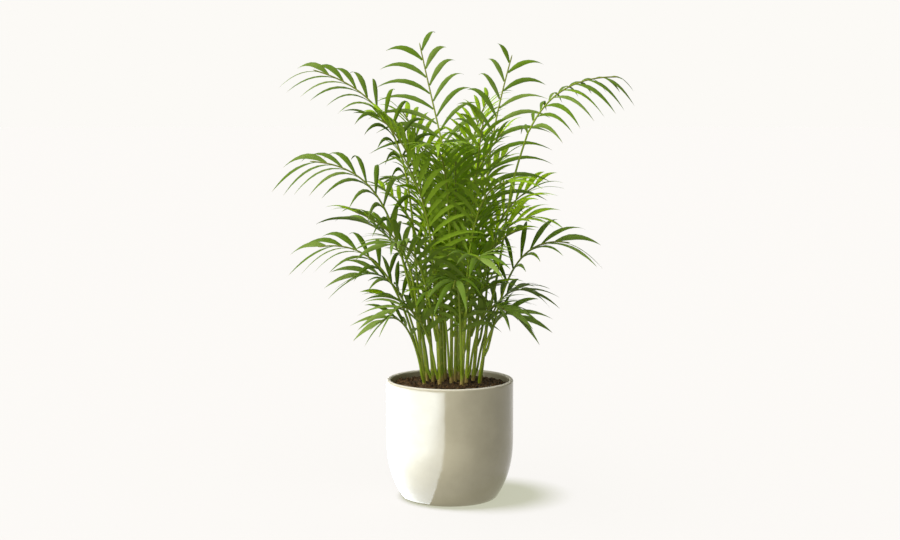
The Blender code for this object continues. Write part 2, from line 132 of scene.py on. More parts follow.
@dataclass
class Shape:
    """A mesh on its way: corners, faces, each face's material, and named values on corners."""

    points: np.ndarray
    faces: list[list[int]]
    finish: np.ndarray
    values: dict[str, np.ndarray] = field(default_factory=dict)
    face_values: dict[str, np.ndarray] = field(default_factory=dict)

    @classmethod
    def joined(cls, shapes: Sequence["Shape"]) -> "Shape":
        """Several shapes as one mesh, with every named value on each of them.

        Args:
            shapes: The shapes, which keep their own corners.

        Returns:
            One shape. A value that a shape lacks is 0 there.
        """
        starts = np.cumsum([0] + [len(shape.points) for shape in shapes])
        faces = [[corner + int(start) for corner in face]
                 for shape, start in zip(shapes, starts) for face in shape.faces]
        names = {name for shape in shapes for name in shape.values}
        face_names = {name for shape in shapes for name in shape.face_values}
        return cls(
            np.concatenate([shape.points for shape in shapes]),
            faces,
            np.concatenate([shape.finish for shape in shapes]),
            {name: np.concatenate([shape.values.get(name, np.zeros(len(shape.points)))
                                   for shape in shapes]) for name in sorted(names)},
            {name: np.concatenate([shape.face_values.get(name, np.zeros(len(shape.faces)))
                                   for shape in shapes]) for name in sorted(face_names)},
        )

    def piece(self, name: str, materials: Sequence[bpy.types.Material], slot: Slot,
              node: str, crease: float = 60.0) -> bpy.types.Object:
        """Put the shape into the scene as one piece that stands for a CAD node.

        Args:
            name: The piece's name.
            materials: Its materials, in the order that finish counts them.
            slot: The record's slot that its finish belongs to. Not used.
            node: The CAD node that it stands for.
            crease: Edges that turn more than this many degrees stay sharp.

        Returns:
            The new object, which rides on the one body.
        """
        mesh = bpy.data.meshes.new(name)
        mesh.from_pydata(self.points, [], self.faces)
        for material in materials:
            mesh.materials.append(material)
        mesh.polygons.foreach_set("material_index", self.finish.astype(np.int32))
        mesh.polygons.foreach_set("use_smooth", np.ones(len(self.faces), dtype=bool))
        for domain, named in (("POINT", self.values), ("FACE", self.face_values)):
            for key, numbers in named.items():
                layer = mesh.attributes.new(key, "FLOAT", domain)
                layer.data.foreach_set("value", numbers.astype(np.float32))
        mesh.update()
        mesh.set_sharp_from_angle(angle=math.radians(crease))
        made = placed(name, mesh)
        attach(made, "root")
        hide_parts(node)
        log.info("%s: %d faces, stands for %s", name, len(self.faces), node)
        return made


def tube(path: np.ndarray, radius: np.ndarray, sides: int, plane: np.ndarray,
         finish: int = 0) -> Shape:
    """A round tube along a path, closed at both ends.

    Corner k of ring i is path[i] + radius[i] * (side * cos a + up * sin a), where a is k shares of
    a full turn, side is the plane's normal squared up to the path, and up is square to both.

    Args:
        path: Points of the middle line.
        radius: Radius at each point.
        sides: Corners round the tube.
        plane: Normal of the plane that the path roughly lies in.
        finish: Material number of its faces.

    Returns:
        The tube, with the value "along" from 0 at its foot to 1.
    """
    ahead = unit(np.gradient(path, axis=0))
    side = without(np.broadcast_to(plane, path.shape), ahead)
    up = np.cross(side, ahead)
    turn = np.arange(sides) * (2 * math.pi / sides)
    spokes = (side[:, None] * np.cos(turn)[:, None] + up[:, None] * np.sin(turn)[:, None])
    points = (path[:, None] + spokes * radius[:, None, None]).reshape(-1, 3)
    ring = np.arange(sides)
    last = (len(path) - 1) * sides
    faces = grid_quads(len(path), sides).tolist() + [ring.tolist(), (last + ring[::-1]).tolist()]
    along = np.repeat(np.linspace(0.0, 1.0, len(path)), sides)
    return Shape(points, faces, np.full(len(faces), finish), {"along": along})


def turned(profile: np.ndarray, steps: int) -> Shape:
    """A profile of (radius, height) turned about the Z axis, from one point on it to another.

    Corner k of ring i is (r cos a, r sin a, z), where a is k shares of a full turn.

    Args:
        profile: The outline, which starts and ends on the axis and runs outside down to inside
            up, as seen on the right of the axis.
        steps: Corners round the axis.

    Returns:
        The closed solid.
    """
    turn = np.arange(steps) * (2 * math.pi / steps)
    rings = profile[1:-1]
    points = np.stack([rings[:, :1] * np.cos(turn), rings[:, :1] * np.sin(turn),
                       np.repeat(rings[:, 1:], steps, axis=1)], axis=-1).reshape(-1, 3)
    poles = np.array([[0.0, 0.0, profile[0, 1]], [0.0, 0.0, profile[-1, 1]]])
    first, last = len(points), len(points) + 1
    ring = np.arange(steps)
    after = (ring + 1) % steps
    end = (len(rings) - 1) * steps
    faces = (grid_quads(len(rings), steps)[:, [0, 3, 2, 1]].tolist()
             + np.stack([np.full(steps, first), after, ring], axis=1).tolist()
             + np.stack([np.full(steps, last), end + ring, end + after], axis=1).tolist())
    return Shape(np.concatenate([points, poles]), faces, np.zeros(len(faces), dtype=int))


def ripple(points: np.ndarray, pitch: float, waves: int, seed: int) -> np.ndarray:
    """Smooth unevenness from -1 to 1: a sum of sine waves in random directions.

    Args:
        points: Where it is wanted, with 3 numbers each.
        pitch: Rough distance from crest to crest, in metres.
        waves: Number of waves.
        seed: Seed of the random directions.

    Returns:
        One number for each point.
    """
    rng = np.random.default_rng(seed)
    heading = unit(rng.normal(size=(waves, 3))) * (2 * math.pi / pitch)
    heading *= rng.uniform(*RIPPLE_SPREAD, size=(waves, 1))
    phase = rng.uniform(0.0, 2 * math.pi, size=waves)
    return np.sin(points @ heading.T + phase).sum(axis=-1) / math.sqrt(waves) / RIPPLE_PEAK


# ---------------------------------------------------------------- reading the frame


def welded(node: str) -> tuple[np.ndarray, np.ndarray]:
    """Read a CAD node's mesh, with its doubled corners made one.

    Args:
        node: The node's name.

    Returns:
        Its corners, and its triangles as rows of three corner numbers.
    """
    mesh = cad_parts[node].data
    points = np.empty(len(mesh.vertices) * 3)
    mesh.vertices.foreach_get("co", points)
    corners = np.empty(len(mesh.loops), dtype=int)
    mesh.loops.foreach_get("vertex_index", corners)
    rounded = np.round(points.reshape(-1, 3), WELD_DECIMALS)
    unique, index = np.unique(rounded, axis=0, return_inverse=True)
    return unique, index.reshape(-1)[corners].reshape(-1, 3)


def corner_angles(points: np.ndarray, triangles: np.ndarray) -> np.ndarray:
    """Add up the angles of the triangles that meet at each corner.

    Args:
        points: The corners.
        triangles: Rows of three corner numbers.

    Returns:
        The sum at each corner, in degrees.
    """
    total = np.zeros(len(points))
    for turn in range(3):
        here, one, other = (triangles[:, (turn + k) % 3] for k in range(3))
        first, second = unit(points[one] - points[here]), unit(points[other] - points[here])
        angle = np.degrees(np.arccos(np.clip((first * second).sum(axis=1), -1.0, 1.0)))
        np.add.at(total, here, angle)
    return total


@dataclass
class CaneBones:
    """The middle line of one cane, from its foot in the soil to its top."""

    foot: np.ndarray
    top: np.ndarray
    foot_radius: float
    top_radius: float

    END: ClassVar[float] = 1e-4     # corners this near to an end, in metres, belong to it

    @classmethod
    def of(cls, node: str) -> "CaneBones":
        """Read them from a cane's mesh: its longest axis, and its width at both ends.

        Args:
            node: The cane's node.

        Returns:
            Its bones.
        """
        points, _ = welded(node)
        middle = points.mean(axis=0)
        axis = np.linalg.svd(points - middle)[2][0]
        axis = axis * np.sign(axis[2])
        along = (points - middle) @ axis
        away = np.linalg.norm(points - middle - along[:, None] * axis, axis=1)
        low, high = along < along.min() + cls.END, along > along.max() - cls.END
        return cls(middle + axis * along.min(), middle + axis * along.max(),
                   float(away[low].max()), float(away[high].max()))

    def nearest(self, place: np.ndarray) -> tuple[np.ndarray, float]:
        """Find the point of its middle line that lies nearest to a place.

        Args:
            place: The place.

        Returns:
            The point, and its distance from the place.
        """
        line = self.top - self.foot
        share = np.clip((place - self.foot) @ line / (line @ line), 0.0, 1.0)
        point = self.foot + line * share
        return point, float(np.linalg.norm(place - point))


@dataclass
class FrondBones:
    """The middle line of one frond, and where each of its leaflets runs."""

    midline: np.ndarray
    half: np.ndarray
    root: np.ndarray
    middle: np.ndarray
    tip: np.ndarray
    across: np.ndarray
    width: np.ndarray

    SHARP: ClassVar[float] = 150.0  # a leaflet's tip has less than this round it, in degrees
    CORNERS: ClassVar[int] = 4      # of each ring of a leaflet or a stalk

    @classmethod
    def of(cls, node: str) -> "FrondBones":
        """Read them from a frond's mesh.

        A tip is a corner with little angle round it. The ring of corners that it meets is its
        leaflet's middle, and the ring beyond is its root. What is left is the tube, read ring by
        ring from the foot up.

        Args:
            node: The frond's node.

        Returns:
            Its bones.
        """
        points, triangles = welded(node)
        meets = np.zeros((len(points), len(points)), dtype=bool)
        for k in range(3):
            meets[triangles[:, k], triangles[:, (k + 1) % 3]] = True
        meets |= meets.T
        tips = np.flatnonzero(corner_angles(points, triangles) < cls.SHARP)
        rims = np.array([np.flatnonzero(meets[tip])[:cls.CORNERS] for tip in tips])
        blade = np.zeros(len(points), dtype=bool)
        blade[tips] = True
        blade[rims] = True
        roots = np.array([points[meets[rim].any(axis=0) & ~blade].mean(axis=0) for rim in rims])
        rings = cls.rings(points, meets, blade)
        midline = np.array([points[ring].mean(axis=0) for ring in rings])
        half = np.array([np.linalg.norm(points[ring] - centre, axis=1).mean() / math.sqrt(2)
                         for ring, centre in zip(rings, midline)])
        rim_points = points[rims]
        centres = rim_points.mean(axis=1)
        spread = np.linalg.svd(rim_points - centres[:, None])[2][:, 0]
        reach = np.abs(np.einsum("nkc,nc->nk", rim_points - centres[:, None], spread))
        return cls(midline, half, roots, centres, points[tips], spread, 2 * reach.max(axis=1))

    @classmethod
    def rings(cls, points: np.ndarray, meets: np.ndarray, blade: np.ndarray) -> list[np.ndarray]:
        """Sort the tube's corners into rings: each is what the one before it meets.

        Args:
            points: The corners.
            meets: Whether each corner shares an edge with each other.
            blade: Whether each corner belongs to a leaflet.

        Returns:
            The corner numbers of each ring, from the foot up.
        """
        tube_corners = np.flatnonzero(~blade)
        lowest = tube_corners[np.argmin(points[tube_corners, 2])]
        away = np.linalg.norm(points[tube_corners] - points[lowest], axis=1)
        rings = [tube_corners[np.argsort(away)[:cls.CORNERS]]]
        seen = blade.copy()
        seen[rings[0]] = True
        while True:
            following = np.flatnonzero(meets[rings[-1]].any(axis=0) & ~seen)
            if len(following) == 0:
                return rings
            seen[following] = True
            rings.append(following)


# ---------------------------------------------------------------- finishes


class Graph:
    """A node tree, with short calls for what the finishes and lights need."""

    def __init__(self, owner: bpy.types.ID, output: str = "OutputMaterial") -> None:
        """Empty the tree of its owner and give it an output node.

        Args:
            owner: The material, world or light.
            output: The kind of its output node.
        """
        owner.use_nodes = True
        self.owner = owner
        self.tree = owner.node_tree
        self.tree.nodes.clear()
        self.output = self.add(output)

    def feed(self, node: bpy.types.Node, inputs: dict) -> bpy.types.Node:
        """Give a node its inputs.

        Args:
            node: The node.
            inputs: For each input, by name or number, a plain value or the socket that feeds it.

        Returns:
            The node.
        """
        for key, value in inputs.items():
            if isinstance(value, Socket):
                self.tree.links.new(value, node.inputs[key])
            else:
                node.inputs[key].default_value = value
        return node

    def add(self, kind: str, inputs: dict | None = None,
            **settings: str) -> bpy.types.Node:
        """Add a node.

        Args:
            kind: Its type, without the leading words that all shader nodes share.
            inputs: Its inputs, as feed takes them.
            settings: The node's own properties.

        Returns:
            The node.
        """
        node = self.tree.nodes.new("ShaderNode" + kind)
        for name, value in settings.items():
            setattr(node, name, value)
        return self.feed(node, inputs or {})

    def value(self, name: str) -> Socket:
        """A named value of the mesh."""
        return self.add("Attribute", attribute_name=name).outputs["Fac"]

    def place(self) -> Socket:
        """The place on the object, in metres."""
        return self.add("TexCoord").outputs["Object"]

    def math(self, operation: str, first: Socket | float, second: Socket | float = 0.0) -> Socket:
        """One sum of numbers, with its operation as Blender names it."""
        return self.add("Math", {0: first, 1: second}, operation=operation).outputs[0]

    def swayed(self, value: Socket, by: Socket, share: float) -> Socket:
        """A value plus a share of what a noise is off its middle."""
        return self.math("ADD", value, self.math("MULTIPLY", self.math("SUBTRACT", by, 0.5), share))

    def span(self, value: Socket, low: float, high: float, start: float = 0.0,
             end: float = 1.0) -> Socket:
        """Value from low to high as start to end, eased and held at both ends."""
        inputs = {"Value": value, "From Min": low, "From Max": high, "To Min": start, "To Max": end}
        return self.add("MapRange", inputs, interpolation_type="SMOOTHSTEP").outputs["Result"]

    def noise(self, vector: Socket, scale: float, detail: float = 3.0,
              roughness: float = 0.55) -> Socket:
        """Cloudy noise from 0 to 1, with so many clouds to the metre."""
        return self.add("TexNoise", {"Vector": vector, "Scale": scale, "Detail": detail,
                                     "Roughness": roughness}).outputs["Fac"]

    def mix(self, share: Socket, first: Socket | Colour, second: Socket | Colour) -> Socket:
        """Mix two colours.

        Args:
            share: 0 for the first, 1 for the second.
            first: One colour.
            second: The other.

        Returns:
            The mixed colour.
        """
        pair = [(*colour, 1.0) if isinstance(colour, tuple) else colour
                for colour in (first, second)]
        node = self.add("Mix", data_type="RGBA")
        return self.feed(node, {0: share, 6: pair[0], 7: pair[1]}).outputs[2]

    def bump(self, height: Socket, distance: float, strength: float) -> Socket:
        """A normal raised by a height from 0 to 1, over so many metres."""
        return self.add("Bump", {"Height": height, "Distance": distance,
                                 "Strength": strength}).outputs["Normal"]

    def finish(self, shader: bpy.types.Node) -> bpy.types.ID:
        """Lead the last shader to the output, and give back the tree's owner."""
        self.tree.links.new(shader.outputs[0], self.output.inputs["Surface"])
        return self.owner


@dataclass(frozen=True)
class GlazeFinish:
    """Satin greige glaze, a little cloudy over an uneven wall, paler on the lip as a painted
    highlight.
    """

    body: Colour = (0.338, 0.315, 0.232)
    cloud: Colour = (0.386, 0.360, 0.270)
    # lip: paler colour over the top of the lip, a painted highlight of its rounded edge
    lip: Colour = (0.540, 0.520, 0.460)
    lip_highlight_depth: tuple[float, float] = (0.0024, 0.0004)   # below the top, where the painted highlight starts and ends
    lip_highlight_share: float = 0.85
    roughness: float = 0.07
    rougher: float = 0.05               # what the clouds add to it
    clouds: float = 24.0                # to the metre, as all noises are counted
    waves: float = 38.0
    grain: float = 900.0
    wave_share: float = 0.9
    grain_share: float = 0.10
    relief: float = 0.0011

    def material(self, height: float) -> bpy.types.Material:
        """Build the glaze.

        Args:
            height: The pot's, where the lip is.

        Returns:
            The material.
        """
        g = Graph(bpy.data.materials.new("glaze_satin"))
        place = g.place()
        clouds = g.noise(place, self.clouds, detail=4.0)
        colour = g.mix(g.span(clouds, 0.3, 0.7), self.body, self.cloud)
        level = g.add("SeparateXYZ", {0: place}).outputs["Z"]
        start, end = (height - depth for depth in self.lip_highlight_depth)
        # paler towards the top of the lip: a painted highlight
        colour = g.mix(g.span(level, start, end, 0.0, self.lip_highlight_share), colour, self.lip)
        waves = g.math("MULTIPLY", g.noise(place, self.waves, detail=2.0), self.wave_share)
        grain = g.math("MULTIPLY", g.noise(place, self.grain, detail=2.0), self.grain_share)
        shine = g.span(clouds, 0.2, 0.8, self.roughness, self.roughness + self.rougher)
        return g.finish(g.add("BsdfPrincipled", {
            "Base Color": colour, "Roughness": shine,
            "Normal": g.bump(g.math("ADD", waves, grain), self.relief, 0.5)}))


@dataclass(frozen=True)
class LeafFinish:
    """A leaflet: fine veins along it, deeper then duller with age, the dullness partly a painted
    sheen, paler below, dry at its tip.
    """

    pale: Colour = (0.288, 0.460, 0.003)
    deep: Colour = (0.080, 0.150, 0.008)
    # the grey-green of old fronds: partly their own dullness, partly a painted sheen
    dull_with_sheen: Colour = (0.195, 0.278, 0.058)
    below: Colour = (0.190, 0.290, 0.030)
    dry: Colour = (0.260, 0.170, 0.050)
    through: Colour = (0.500, 0.720, 0.004)
    sheen_and_dulling: tuple[float, float] = (0.80, 1.40)     # the ages between which it dulls and takes on its painted sheen
    veins: float = 4.7                  # radians of their wave from the middle to an edge
    vein_share: float = 0.22
    below_share: float = 0.65
    tip: tuple[float, float] = (0.97, 1.06)         # where along it it dries
    tip_share: float = 0.8
    clouds: float = 55.0
    cloud_age: float = 0.5              # how much older or younger a cloud is
    cloud_tip: float = 0.10             # how far a cloud moves the dry tip
    roughness: float = 0.38
    rough_below: float = 0.6
    gloss: float = 0.24
    glow: float = 0.30                  # share of light that comes through
    relief: float = 0.0001

    def material(self) -> bpy.types.Material:
        """Build the leaf.

        Returns:
            The material.
        """
        g = Graph(bpy.data.materials.new("leaf_green"))
        under = g.value("under")
        clouds = g.noise(g.place(), self.clouds)
        age = g.swayed(g.value("tone"), clouds, self.cloud_age)
        vein = g.math("ABSOLUTE", g.math("SINE", g.math("MULTIPLY", g.value("across"), self.veins)))
        colour = g.mix(g.span(age, 0.0, 1.0), self.pale, self.deep)
        # older fronds turn dull grey-green, partly real ageing and partly a painted sheen
        colour = g.mix(g.span(age, *self.sheen_and_dulling), colour, self.dull_with_sheen)
        colour = g.mix(g.span(vein, 0.0, 0.35, self.vein_share, 0.0), colour, self.pale)
        colour = g.mix(g.math("MULTIPLY", under, self.below_share), colour, self.below)
        tip = g.math("ADD", g.value("along"), g.math("MULTIPLY", clouds, self.cloud_tip))
        colour = g.mix(g.span(tip, *self.tip, 0.0, self.tip_share), colour, self.dry)
        front = g.add("BsdfPrincipled", {
            "Base Color": colour, "Specular IOR Level": self.gloss,
            "Roughness": g.span(under, 0.0, 1.0, self.roughness, self.rough_below),
            "Normal": g.bump(vein, self.relief, 0.3)})
        shone = g.mix(g.span(age, 0.0, 1.0), self.through, self.pale)
        back = g.add("BsdfTranslucent", {"Color": shone})
        return g.finish(g.add("MixShader", {0: self.glow, 1: front.outputs[0],
                                            2: back.outputs[0]}))


@dataclass(frozen=True)
class StalkFinish:
    """Stalk and midrib: green at the foot, thinner and browner to the tip."""

    foot: Colour = (0.270, 0.370, 0.018)
    shade: Colour = (0.165, 0.250, 0.012)
    top: Colour = (0.150, 0.180, 0.020)
    browning: tuple[float, float] = (0.3, 1.1)      # where along it it browns
    clouds: float = 140.0
    cloud_share: float = 0.3
    roughness: float = 0.42
    gloss: float = 0.3
    relief: float = 0.0002

    def material(self) -> bpy.types.Material:
        """Build the stalk.

        Returns:
            The material.
        """
        g = Graph(bpy.data.materials.new("stalk_green"))
        clouds = g.noise(g.place(), self.clouds)
        along = g.math("ADD", g.value("along"), g.math("MULTIPLY", clouds, self.cloud_share))
        green = g.mix(g.value("tone"), self.foot, self.shade)
        return g.finish(g.add("BsdfPrincipled", {
            "Base Color": g.mix(g.span(along, *self.browning), green, self.top),
            "Roughness": self.roughness, "Specular IOR Level": self.gloss,
            "Normal": g.bump(clouds, self.relief, 0.5)}))


@dataclass(frozen=True)
class CaneFinish:
    """A cane: waxy green, paler at its rings, in dry brownish sheaths near the soil."""

    green: Colour = (0.270, 0.370, 0.018)
    shade: Colour = (0.155, 0.240, 0.011)
    ring: Colour = (0.430, 0.460, 0.080)
    sheath: Colour = (0.300, 0.230, 0.070)
    ring_share: float = 0.7
    streaks: float = 420.0
    streak_share: float = 0.50
    streak_run: float = 0.12            # how much slower they change along the height
    patchiness: float = 0.9             # how ragged the streaks make the sheaths' edge
    roughness: float = 0.4
    gloss: float = 0.3
    relief: float = 0.0004

    def material(self) -> bpy.types.Material:
        """Build the cane.

        Returns:
            The material.
        """
        g = Graph(bpy.data.materials.new("cane_green"))
        drawn = g.add("Mapping", {"Vector": g.place(), "Scale": (1.0, 1.0, self.streak_run)})
        streaks = g.noise(drawn.outputs[0], self.streaks, detail=4.0)
        colour = g.mix(g.value("tone"), self.green, self.shade)
        colour = g.mix(g.span(streaks, 0.35, 0.75, 0.0, self.streak_share), colour, self.ring)
        colour = g.mix(g.math("MULTIPLY", g.value("ring"), self.ring_share), colour, self.ring)
        patch = g.swayed(g.value("base"), streaks, self.patchiness)
        colour = g.mix(g.span(patch, 0.15, 0.90), colour, self.sheath)
        return g.finish(g.add("BsdfPrincipled", {
            "Base Color": colour, "Roughness": self.roughness, "Specular IOR Level": self.gloss,
            "Normal": g.bump(streaks, self.relief, 0.5)}))


@dataclass(frozen=True)
class SoilFinish:
    """Damp potting soil: dark brown, with paler fibres and crumbs."""

    dark: Colour = (0.016, 0.009, 0.004)
    brown: Colour = (0.105, 0.058, 0.022)
    fibre: Colour = (0.260, 0.170, 0.080)
    fibre_share: float = 0.7
    clods: float = 230.0
    grit: float = 900.0
    roughness: float = 0.9
    relief: float = 0.002

    def material(self) -> bpy.types.Material:
        """Build the soil.

        Returns:
            The material.
        """
        g = Graph(bpy.data.materials.new("soil_damp"))
        place = g.place()
        clods = g.noise(place, self.clods, detail=5.0, roughness=0.7)
        grit = g.noise(place, self.grit, detail=2.0)
        colour = g.mix(g.span(clods, 0.38, 0.64), self.dark, self.brown)
        colour = g.mix(g.span(grit, 0.62, 0.72, 0.0, self.fibre_share), colour, self.fibre)
        return g.finish(g.add("BsdfPrincipled", {
            "Base Color": colour, "Roughness": self.roughness,
            "Normal": g.bump(clods, self.relief, 0.9)}))


# ---------------------------------------------------------------- the pot and its soil


@dataclass
class Pot:
    """A turned vessel, open at the top: straight above, drawn in to its foot below."""

    rim: float = field(init=False)      # outer radius, which the frame gives, as the height
    height: float = field(init=False)
    foot: float = 0.0555
    wall: float = 0.005
    floor: float = 0.008
    turn_height: float = 0.075
    turn_power: float = 2.6
    foot_edge: float = 0.0015
    steps: int = 192                    # corners round it
    outer_rings: int = 48
    lip_rings: int = 13
    inner_rings: int = 40
    edge_rings: int = 5
    crease: float = 50.0
    finish: GlazeFinish = GlazeFinish()

    def __post_init__(self) -> None:
        """Take the outer sizes from the frame."""
        low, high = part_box("pot")
        self.rim, self.height = float(high.x), float(high.z)

    def radius(self, height: np.ndarray) -> np.ndarray:
        """Outer radius: the rim's, less a power curve of the depth below turn_height."""
        below = np.clip(1.0 - height / self.turn_height, 0.0, None)
        return self.rim - (self.rim - self.foot) * below ** self.turn_power

    def profile(self) -> np.ndarray:
        """Underside, foot, outer wall up, rounded lip, and down the inside to the floor.

        Returns:
            Its points, as rows of radius and height.
        """
        heights = np.linspace(self.foot_edge, self.height - self.wall / 2, self.outer_rings)
        outer = np.stack([self.radius(heights), heights], axis=1)
        turn = np.radians(np.linspace(0.0, 180.0, self.lip_rings))[1:-1]
        lip = np.stack([self.rim - self.wall / 2 * (1 - np.cos(turn)),
                        self.height - self.wall / 2 * (1 - np.sin(turn))], axis=1)
        depths = np.linspace(self.height - self.wall / 2, self.floor, self.inner_rings)
        inner = np.stack([self.radius(depths) - self.wall, depths], axis=1)
        edge = np.radians(np.linspace(-90.0, 0.0, self.edge_rings))[:-1]
        bevel = np.stack([self.foot - self.foot_edge * (1 - np.cos(edge)),
                          self.foot_edge * (1 + np.sin(edge))], axis=1)
        return np.concatenate([[[0.0, 0.0]], bevel, outer, lip, inner, [[0.0, self.floor]]])

    def build(self) -> bpy.types.Object:
        """Turn it and glaze it."""
        return turned(self.profile(), self.steps).piece(
            "pot_glazed", [self.finish.material(self.height)], Slot.GLAZE, "pot", self.crease)


@dataclass
class Soil:
    """The root ball, whose top is uneven and covered with loose crumbs."""

    pot: Pot
    gap: float = 0.0003
    drop: float = 0.008
    heap: float = 0.004
    steps: int = 200                    # corners round it
    side_rings: int = 24
    top_rings: int = 70
    lumps: float = 0.00066              # height of the ripples
    ripples: tuple[tuple[float, float, int], ...] = (   # pitch, share of the height, waves
        (0.011, 1.0, 30), (0.0045, 0.8, 40), (0.0022, 0.45, 40))
    crumbs: int = 1300
    crumb_seed: int = 7
    crumb_least: float = 0.0005
    crumb_spread: float = 0.0019        # how much larger the largest are
    crumb_power: float = 2.6            # the higher, the more of them are small
    crumb_corner: float = 0.62          # how far out a lump's corners are, next to its sides
    crumb_rough: tuple[float, float] = (0.65, 1.2)
    crumb_squash: tuple[float, float] = (0.6, 1.2)
    crumb_rise: float = 0.35            # how far its middle is above the top, as a share
    crumb_margin: float = 0.002         # to the wall
    crease: float = 70.0
    finish: SoilFinish = SoilFinish()

    def top(self, radius: np.ndarray) -> np.ndarray:
        """Height of the smooth top: a shallow bowl over, highest in the middle."""
        edge = self.pot.rim - self.pot.wall - self.gap
        return self.pot.height - self.drop + self.heap * (1.0 - (radius / edge) ** 2)

    def ball(self) -> Shape:
        """The root ball, with its top moved up and down by the ripples.

        Returns:
            The closed solid.
        """
        edge = self.pot.rim - self.pot.wall - self.gap
        depths = np.linspace(self.pot.floor + self.gap, float(self.top(np.array(edge))),
                             self.side_rings)
        side = np.stack([self.pot.radius(depths) - self.pot.wall - self.gap, depths], axis=1)
        across = np.linspace(edge, 0.0, self.top_rings)[1:]
        cover = np.stack([across, self.top(across)], axis=1)
        shape = turned(np.concatenate([[[0.0, side[0, 1]]], side, cover]), self.steps)
        radius = np.linalg.norm(shape.points[:, :2], axis=1)
        is_top = shape.points[:, 2] > self.top(radius) - self.gap
        flat = shape.points * [1.0, 1.0, 0.0]
        bumps = sum(share * ripple(flat, pitch, waves, seed)
                    for seed, (pitch, share, waves) in enumerate(self.ripples, start=1))
        shape.points[:, 2] += np.where(is_top, self.lumps * bumps, 0.0)
        return shape

    def loose(self) -> Shape:
        """Loose crumbs on the top: 14-cornered lumps, each squashed and turned its own way.

        Returns:
            The crumbs, each closed.
        """
        rng = np.random.default_rng(self.crumb_seed)
        edge = self.pot.rim - self.pot.wall - self.crumb_margin
        radius = edge * np.sqrt(rng.uniform(0.0, 1.0, self.crumbs))
        turn = rng.uniform(0.0, 2 * math.pi, self.crumbs)
        size = self.crumb_least + (self.crumb_spread
                                   * rng.uniform(0.0, 1.0, self.crumbs) ** self.crumb_power)
        corners = np.array([[x, y, z] for x in (-1, 0, 1) for y in (-1, 0, 1) for z in (-1, 0, 1)
                            if abs(x) + abs(y) + abs(z) == 1], dtype=float)
        cube = np.array([[x, y, z] for x in (-1, 1) for y in (-1, 1) for z in (-1, 1)])
        template = np.concatenate([corners, cube * self.crumb_corner])
        faces = self.lump_faces(template)
        shapes = template * rng.uniform(*self.crumb_rough, size=(self.crumbs, len(template), 1))
        spin = np.linalg.qr(rng.normal(size=(self.crumbs, 3, 3)))[0]
        spin = spin * np.sign(np.linalg.det(spin))[:, None, None]
        squash = rng.uniform(*self.crumb_squash, size=(self.crumbs, 1, 3))
        lumps = np.einsum("nkc,ncd->nkd", shapes * squash, spin) * size[:, None, None]
        centre = np.stack([radius * np.cos(turn), radius * np.sin(turn),
                           self.top(radius) + size * self.crumb_rise], axis=1)
        points = (lumps + centre[:, None]).reshape(-1, 3)
        every = (np.arange(self.crumbs)[:, None, None] * len(template) + faces).reshape(-1, 3)
        return Shape(points, every.tolist(), np.zeros(len(every), dtype=int))

    @staticmethod
    def lump_faces(template: np.ndarray) -> np.ndarray:
        """Skin a lump: each of its 6 axis corners is joined to the 4 cube corners round it.

        Args:
            template: The 6 axis corners, then the 8 cube corners.

        Returns:
            Its triangles, as rows of three corner numbers.
        """
        faces = []
        for axis in range(6):
            normal = template[axis]
            near = [k for k in range(6, 14) if template[k] @ normal > 0]
            first = without(template[near[0]], normal)
            other = np.cross(normal, first)
            near.sort(key=lambda k: math.atan2(template[k] @ other, template[k] @ first))
            faces += [(axis, near[k], near[(k + 1) % 4]) for k in range(4)]
        return np.array(faces)

    def build(self) -> bpy.types.Object:
        """Make the ball and its crumbs one piece."""
        shape = Shape.joined([self.ball(), self.loose()])
        return shape.piece("soil_crumbly", [self.finish.material()], Slot.SOIL, "soil",
                           self.crease)


# ---------------------------------------------------------------- the plant


@dataclass
class Canes:
    """The short stems: round, ringed, faintly bowed, sheathed near the soil."""

    bones: dict[str, CaneBones]
    soil_height: float
    sides: int = 12
    steps: int = 90                     # rings of corners along a cane
    seed: int = 100
    ring_gap: float = 0.019
    ring_first: tuple[float, float] = (0.3, 1.0)        # of the gap, up to the lowest ring
    ring_width: float = 0.0011
    ring_swell: float = 0.09
    end_taper: tuple[float, ...] = (0.97, 0.88, 0.62)   # of the radius, over the last rings
    sheath_height: float = 0.016
    sheath_range: tuple[float, float] = (0.6, 1.6)
    bow: float = 0.0009
    finish: CaneFinish = CaneFinish()

    def cane(self, number: int, bones: CaneBones) -> Shape:
        """Draw one cane.

        Its radius tapers evenly and swells by a bell curve at each ring. The middle line bows
        sideways by half a sine wave.

        Args:
            number: Its number, which seeds its own draws.
            bones: Its middle line and ends.

        Returns:
            The cane, with ring, base and tone on corners.
        """
        rng = np.random.default_rng(self.seed + number)
        line = bones.top - bones.foot
        length = float(np.linalg.norm(line))
        share = np.linspace(0.0, 1.0, self.steps)
        sideways = without(rng.normal(size=3), unit(line))
        path = bones.foot + share[:, None] * line
        path = path + sideways * (self.bow * np.sin(math.pi * share))[:, None]
        above = share * length
        first = rng.uniform(*self.ring_first) * self.ring_gap
        from_ring = (above - first + self.ring_gap / 2) % self.ring_gap - self.ring_gap / 2
        ring = np.exp(-(from_ring / self.ring_width) ** 2)
        radius = bones.foot_radius + (bones.top_radius - bones.foot_radius) * share
        radius = radius * (1.0 + self.ring_swell * ring)
        radius[-len(self.end_taper):] *= self.end_taper
        shape = tube(path, radius, self.sides, sideways)
        height = np.repeat(path[:, 2], self.sides) - self.soil_height
        shape.values["ring"] = np.repeat(ring, self.sides)
        sheath = self.sheath_height * rng.uniform(*self.sheath_range)
        shape.values["base"] = 1.0 - smoothstep(height, 0.0, sheath)
        shape.values["tone"] = np.full(len(shape.points), rng.uniform(0.0, 1.0))
        return shape

    def build(self) -> list[bpy.types.Object]:
        """Make every cane."""
        material = self.finish.material()
        return [self.cane(number, bones).piece(f"{node}_stem", [material], Slot.CANE, node)
                for number, (node, bones) in enumerate(self.bones.items())]


